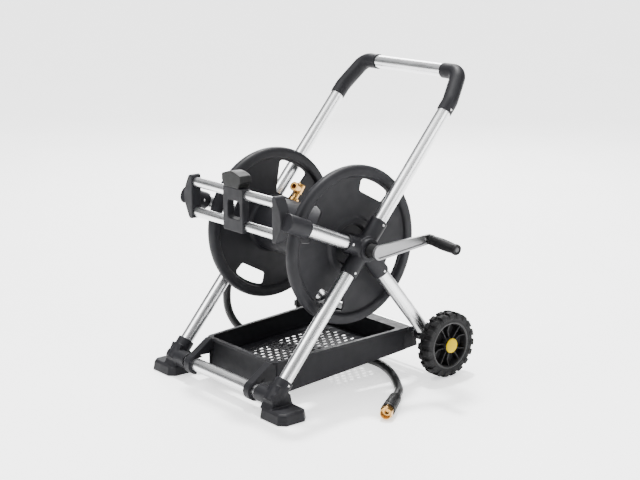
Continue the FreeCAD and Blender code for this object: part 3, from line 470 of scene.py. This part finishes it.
def rim(bm, centre, side):
    """A deep ring and hub joined by a web, with ten thin ribs on it that are each bent at the middle."""
    place = basis(centre, X * side)
    ring = [(66.4, -17.8), (69.0, -17.8), (69.0, 18.4), (66.5, 19.6), (63.2, 18.6), (60.8, 12)]
    ring += [(60.8, -10), (63.0, -17.0), (66.4, -17.8)]
    add_lathe(bm, ring, place, 72)
    hub = [(6.1, -22), (17, -22), (20, -10), (20, 12), (18.4, 15.5), (13.9, 15.5), (13.9, 16), (6.1, 16)]
    add_lathe(bm, [*hub, hub[0]], place, 48)
    web = [(19, -8.5), (61.5, -8.5), (61.5, -5.5), (19, -5.5), (19, -8.5)]
    add_lathe(bm, web, place, 72)
    for k in range(RIBS):
        spin = place @ Matrix.Rotation(2 * math.pi * k / RIBS, 4, "Z")
        lean = 5.0 if k % 2 else -5.0
        line = [(18.5, 0, 13.5), (42, lean, 11.0), (62, lean * 0.4, 15.5)]
        for (r0, y0, z0), (r1, y1, z1) in zip(line, line[1:]):
            low, high = [], []
            for r, y, top in ((r0, y0, z0), (r1, y1, z1)):
                for sign in (-1, 1):
                    low.append((r, y + sign * 1.1, -7))
                    high.append((r, y + sign * 0.9, top))
            corners = [low[0], low[1], low[3], low[2], high[0], high[1], high[3], high[2]]
            v = [bm.verts.new(spin @ (Vector(p) / 1000)) for p in corners]
            bm.faces.new((v[3], v[2], v[1], v[0]))
            bm.faces.new(v[4:])
            for i in range(4):
                n = (i + 1) % 4
                bm.faces.new((v[i], v[n], v[n + 4], v[i + 4]))


for name, side in SIDES:
    centre = WHEEL_AT[name]
    body = f"wheel_{name}"
    piece = new_object(f"tyre_lugged_{name}", lambda bm: tyre(bm, centre, side), 30)
    add(bevel(piece, 1.1, 2, 40), TYRE, "tyre_rubber", body, f"tyre_{name}")
    piece = new_object(f"wheel_rim_ribbed_{name}", lambda bm: rim(bm, centre, side), 30)
    add(piece, BLACK, "charcoal_plastic", body, f"wheel_rim_{name}")
    cap = [(0, -3), (13.7, -3), (13.7, 1), (20.4, 1), (21, 2), (21, 3.5), (19.6, 5.0), (14, 6.2)]
    cap += [(7, 6.8), (0, 7)]
    piece = lathe(f"hub_cap_domed_{name}", cap, centre + X * side * 0.0202, X * side, 56, 50)
    add(piece, YELLOW, "yellow_plastic", body, f"hub_cap_{name}")

# ---- Tray floor ----

TRAY_FRONT, TRAY_REAR, TRAY_BACK = -245.0, 217.0, 185.0
TRAY_HALVES = (152, 179)  # half of its width at its front and at its rear
TRAY_TOPS = (116, 134)  # the height of its rim at its front and at its rear
TRAY_DEPTH = 59.9  # from the rim down to the perforated sheet
TRAY_CORNER = 5  # how far the floor's corners tuck in


def tray_at(y, at_front, at_rear):
    """A size of the tray at one depth, between its values at the front and at the rear."""
    return at_front + (at_rear - at_front) * (y - TRAY_FRONT) / (TRAY_REAR - TRAY_FRONT)


def perforated(bm):
    """The tray's floor: rows of small slots, each row moved half a pitch from its neighbours."""
    row, pitch, slot_long, slot_wide, rows = 19.4, 24.7, 12.6, 7.8, 13
    near, far = TRAY_FRONT + 4, TRAY_BACK - 0.5
    first = near + 22
    count = int((far - 18 - first) / pitch)
    across = [-rows * row / 2 + row * k for k in range(rows + 1)]
    xs = {round(x, 2) for x in across}
    for x in across[:-1]:
        xs |= {round(x + (row - slot_wide) / 2, 2), round(x + (row + slot_wide) / 2, 2)}
    ys = {near, near + 12, far - 12, far}
    for k in range(count):
        for half in (0, pitch / 2):
            low = first + k * pitch + half
            ys |= {round(low, 2), round(low + slot_long, 2)}
    xs, ys = sorted(xs), sorted(ys)

    def open_here(x, y):
        lane = math.floor((x - across[0]) / row)
        if not 0 <= lane < rows:
            return False
        if abs(x - across[lane] - row / 2) > slot_wide / 2:
            return False
        along = y - first - (pitch / 2 if lane % 2 else 0)
        step = math.floor(along / pitch)
        return 0 <= step < count and along - step * pitch < slot_long

    edge = len(xs) + 3
    grid = []
    for y in ys:
        half = tray_at(y, *TRAY_HALVES) - 4
        line = [-half, -half + 12, *xs, half - 12, half]
        grid.append([Vector((x, y, tray_at(y, *TRAY_TOPS) - TRAY_DEPTH)) for x in line])
    for j, tuck_y in ((0, TRAY_CORNER), (-1, -TRAY_CORNER)):
        for i, tuck_x in ((0, TRAY_CORNER), (edge, -TRAY_CORNER)):
            grid[j][i] += Vector((tuck_x, tuck_y, 0))
    verts = [[bm.verts.new(at(*spot)) for spot in line] for line in grid]
    for j in range(len(ys) - 1):
        for i in range(edge):
            middle = (grid[j][i] + grid[j + 1][i + 1]) / 2
            if not open_here(middle.x, (ys[j] + ys[j + 1]) / 2):
                bm.faces.new((verts[j][i], verts[j][i + 1], verts[j + 1][i + 1], verts[j + 1][i]))


floor_plate = new_object("tray_floor_perforated", perforated, 30)
thick = floor_plate.modifiers.new("Solidify", "SOLIDIFY")
thick.thickness = 0.0009
thick.offset = 1.0
add(floor_plate, CHARCOAL, "charcoal_plastic", "frame", "tray_mesh")

# ---- Crank grip ----

TILT = math.radians(5.3)
CRANK_WAY = in_side_plane(3.4)
GRIP_WAY = Vector((math.cos(TILT), 0, -math.sin(TILT)))
TIP_AT = at(294.5, 0, 409) + CRANK_WAY * 0.182
GRIP_AT = TIP_AT + GRIP_WAY * 0.009


def grip_profile():
    outline = [(4.6, 0), (13.2, 0), (14.6, 1.6), (14.9, 6), (13.9, 8), (13.9, 10)]
    for k in range(17):
        along = k / 16
        outline.append((14.2 + 1.7 * math.sin(math.pi * along), 12 + 76 * along))
    return outline + [(14.0, 91), (15.3, 94), (15.3, 101), (14.0, 104), (9.5, 104), (9.0, 99), (4.6, 99)]


grip = lathe("crank_grip_contoured", [*grip_profile(), (4.6, 0)], GRIP_AT, GRIP_WAY, 56, 40)
add(grip, GRIP, "grip_rubber", "crank_grip", "crank_grip")

# ---- Light and floor ----

world = bpy.data.worlds.new("Studio")
bpy.context.scene.world = world
world.use_nodes = True
nodes, links = world.node_tree.nodes, world.node_tree.links
background = nodes["Background"]
coords = nodes.new("ShaderNodeTexCoord")
split = nodes.new("ShaderNodeSeparateXYZ")
ramp = nodes.new("ShaderNodeValToRGB")
ramp.color_ramp.elements[0].position = 0.5
ramp.color_ramp.elements[0].color = (0.1, 0.1, 0.105, 1)
ramp.color_ramp.elements[1].position = 0.85
ramp.color_ramp.elements[1].color = (1, 1, 1, 1)
links.new(coords.outputs["Generated"], split.inputs["Vector"])
links.new(split.outputs["Z"], ramp.inputs["Fac"])
ray = nodes.new("ShaderNodeLightPath")
pick = nodes.new("ShaderNodeMix")
pick.data_type = "RGBA"
pick.inputs[7].default_value = (20, 20, 20, 1)
links.new(ray.outputs["Is Camera Ray"], pick.inputs["Factor"])
links.new(ramp.outputs["Color"], pick.inputs[6])
links.new(pick.outputs[2], background.inputs["Color"])
background.inputs["Strength"].default_value = 1.5


def area_light(name, place, target, size, power):
    data = bpy.data.lights.new(name, "AREA")
    data.shape = "RECTANGLE"
    data.size, data.size_y = size
    data.energy = power
    lamp = bpy.data.objects.new(name, data)
    lamp.location = place
    way = Vector(target) - Vector(place)
    lamp.rotation_euler = way.to_track_quat("-Z", "Y").to_euler()
    bpy.context.collection.objects.link(lamp)


sun = bpy.data.objects.new("sun", bpy.data.lights.new("sun", "SUN"))
sun.data.energy = 5.5
sun.data.angle = math.radians(5)
sun.rotation_euler = (Vector((-0.3, 0.22, 1)).to_track_quat("Z", "Y")).to_euler()
bpy.context.collection.objects.link(sun)
area_light("key", (-0.6, -2.6, 3.2), (0, 0, 0.4), (2.4, 2.0), 110)
area_light("fill", (3.4, 0.9, 2.0), (0, 0, 0.4), (1.8, 2.2), 70)
area_light("top", (0.0, 0.6, 3.6), (0, 0, 0.2), (2.6, 2.6), 80)
area_light("back", (-2.6, 2.4, 2.2), (0, 0, 0.4), (1.6, 2.0), 130)


def ground(bm):
    for x, y in ((-30, -30), (30, -30), (30, 30), (-30, 30)):
        bm.verts.new((x, y, -0.0004))
    bm.faces.new(bm.verts)


studio_floor = new_object("studio_floor", ground, 0)
pale = Material("studio_floor", (0.93, 0.93, 0.93), 0.6)
pale.spread(pale.noise(3, 2), 0.55, 0.65, "Roughness")
pale.set("Emission Color", (1, 1, 1, 1))
pale.set("Emission Strength", 1.0)
paint(studio_floor, pale.material)
